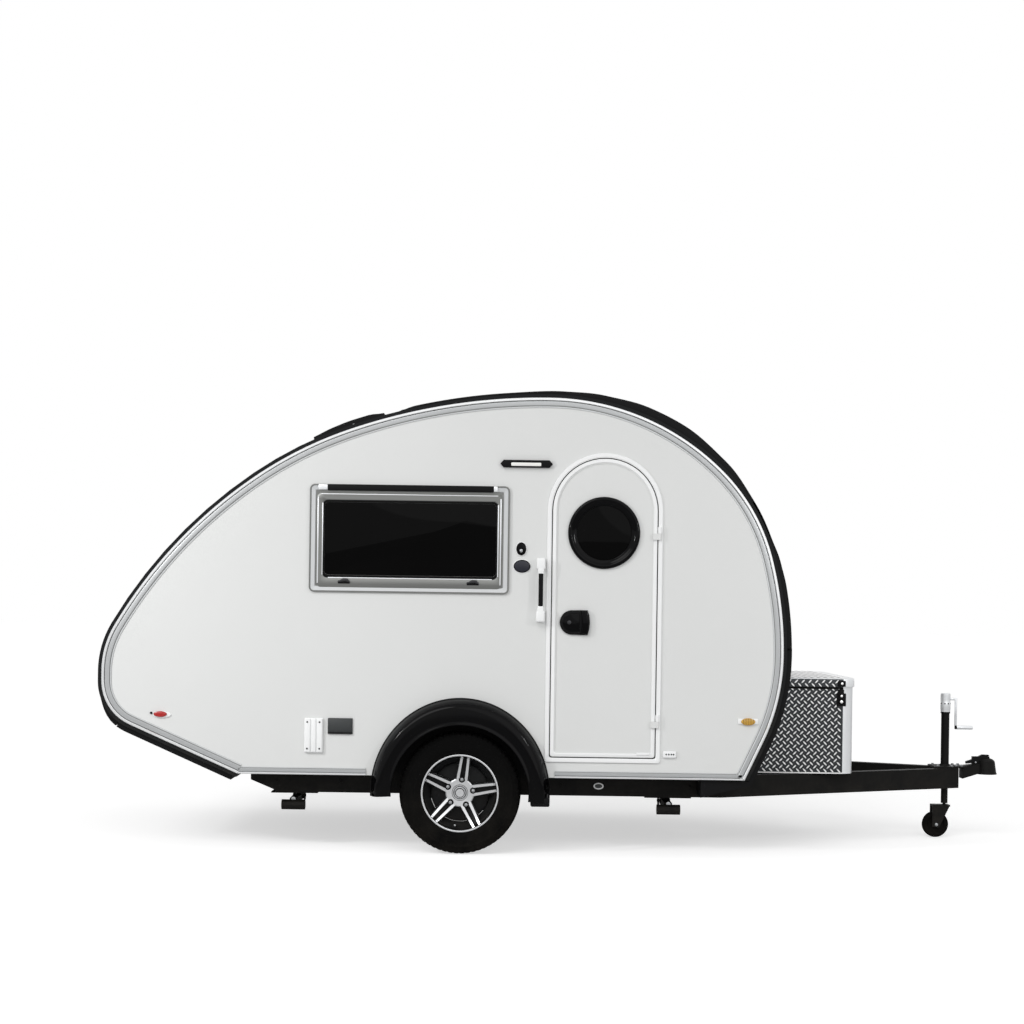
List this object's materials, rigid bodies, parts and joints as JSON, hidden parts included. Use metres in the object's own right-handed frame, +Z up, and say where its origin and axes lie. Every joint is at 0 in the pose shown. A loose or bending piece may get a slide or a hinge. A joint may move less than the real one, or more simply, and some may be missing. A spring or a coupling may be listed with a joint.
{
  "type": "teardrop trailer",
  "caption": "Teardrop travel trailer with a hollow sandwich-panel cabin, arched side door, tinted windows, A-frame chassis, tongue box, coupler and jack.",
  "frame": {"origin": "on the ground under the middle of the overall length and width", "axes": "+X towards the coupler, +Y to the trailer's left, +Z up"},
  "size_m": [4.808, 2.06, 2.3382],
  "materials": {
    "white_gelcoat": "white sandwich panel",
    "white_paint": "white moulded frame",
    "grey_frame": "grey window frame",
    "black_skin": "black wrap-round skin",
    "black_gloss": "gloss black moulding",
    "black_satin": "satin black moulding",
    "chassis_black": "black powder coat",
    "tinted_glass": "dark tinted acrylic",
    "bright_aluminium": "bright anodised edge rail",
    "plate_aluminium": "tread plate",
    "machined_alloy": "machined wheel face",
    "rubber": "black rubber",
    "floor_board": "sealed floor board",
    "red_lens": "red lens",
    "zinc_steel": "zinc-plated steel"
  },
  "bodies": {
    "trailer": {"side_panel_right": "white_gelcoat", "side_panel_left": "white_gelcoat", "door_frame": "white_paint", "outlet_cover": "white_paint", "window_frame_right": "grey_frame", "window_frame_left": "grey_frame", "roof_skin": "black_skin", "fender_right": "black_gloss", "fender_left": "black_gloss", "front_guard": "black_satin", "rear_guard": "black_satin", "hatch_frame": "black_satin", "wheel_box_right": "black_satin", "wheel_box_left": "black_satin", "grab_handle": "black_satin", "porch_lamp": "black_satin", "vent_cover": "black_satin", "frame_rail_right": "chassis_black", "frame_rail_left": "chassis_black", "cross_member_front": "chassis_black", "cross_member_rear": "chassis_black", "axle_beam": "chassis_black", "coupler": "chassis_black", "jack_tube": "chassis_black", "steady_mount_front_right": "chassis_black", "steady_mount_front_left": "chassis_black", "steady_mount_rear_right": "chassis_black", "steady_mount_rear_left": "chassis_black", "front_window": "tinted_glass", "rear_window": "tinted_glass", "window_pane_right": "tinted_glass", "window_pane_left": "tinted_glass", "edge_trim_right": "bright_aluminium", "edge_trim_left": "bright_aluminium", "toolbox": "plate_aluminium", "floor_panel": "floor_board", "tail_lamp_right": "red_lens", "tail_lamp_left": "red_lens"},
    "wheel_right": {"tyre_right": "rubber", "rim_right": "machined_alloy"},
    "wheel_left": {"tyre_left": "rubber", "rim_left": "machined_alloy"},
    "door": {"door_leaf": "white_gelcoat", "door_window_ring": "black_gloss", "door_window_pane": "tinted_glass", "door_handle": "black_gloss"},
    "hatch": {"hatch_lid": "black_gloss"},
    "box_lid": {"toolbox_lid": "plate_aluminium"},
    "jack_inner": {"jack_leg": "zinc_steel"},
    "caster": {"caster_fork": "chassis_black"},
    "caster_roller": {"caster_wheel": "rubber"},
    "steady_front_right": {"steady_leg_front_right": "chassis_black"},
    "steady_front_left": {"steady_leg_front_left": "chassis_black"},
    "steady_rear_right": {"steady_leg_rear_right": "chassis_black"},
    "steady_rear_left": {"steady_leg_rear_left": "chassis_black"}
  },
  "joints": [
    {"name": "wheel_right_turn", "type": "hinge", "parent": "trailer", "child": "wheel_right", "pos_m": [-0.567, -0.89, 0.3075], "axis": [0, 1, 0], "continuous": true},
    {"name": "wheel_left_turn", "type": "hinge", "parent": "trailer", "child": "wheel_left", "pos_m": [-0.567, 0.89, 0.3075], "axis": [0, 1, 0], "continuous": true},
    {"name": "entry_door", "type": "hinge", "parent": "trailer", "child": "door", "pos_m": [0.425, -0.965, 1.2], "axis": [0, 0, 1], "range_deg": [0, 150]},
    {"name": "roof_hatch", "type": "hinge", "parent": "trailer", "child": "hatch", "pos_m": [-0.9653, 0, 2.2413], "axis": [0, 1, 0], "range_deg": [0, 50]},
    {"name": "toolbox_lid", "type": "hinge", "parent": "trailer", "child": "box_lid", "pos_m": [1.1265, 0, 0.892], "axis": [0, -1, 0], "range_deg": [0, 75]},
    {"name": "jack_slide", "type": "slide", "parent": "trailer", "child": "jack_inner", "axis": [0, 0, 1], "range_m": [-0.12, 0.09]},
    {"name": "caster_swivel", "type": "hinge", "parent": "jack_inner", "child": "caster", "pos_m": [2.116, 0, 0.178], "axis": [0, 0, 1], "continuous": true},
    {"name": "caster_roll", "type": "hinge", "parent": "caster", "child": "caster_roller", "pos_m": [2.066, 0, 0.072], "axis": [0, 1, 0], "continuous": true},
    {"name": "steady_front_right_swing", "type": "hinge", "parent": "trailer", "child": "steady_front_right", "pos_m": [0.503, -0.5, 0.236], "axis": [1, 0, 0], "range_deg": [0, 45]},
    {"name": "steady_front_left_swing", "type": "hinge", "parent": "trailer", "child": "steady_front_left", "pos_m": [0.503, 0.5, 0.236], "axis": [-1, 0, 0], "range_deg": [0, 45]},
    {"name": "steady_rear_right_swing", "type": "hinge", "parent": "trailer", "child": "steady_rear_right", "pos_m": [-1.427, -0.5, 0.236], "axis": [1, 0, 0], "range_deg": [0, 45]},
    {"name": "steady_rear_left_swing", "type": "hinge", "parent": "trailer", "child": "steady_rear_left", "pos_m": [-1.427, 0.5, 0.236], "axis": [-1, 0, 0], "range_deg": [0, 45]}
  ]
}
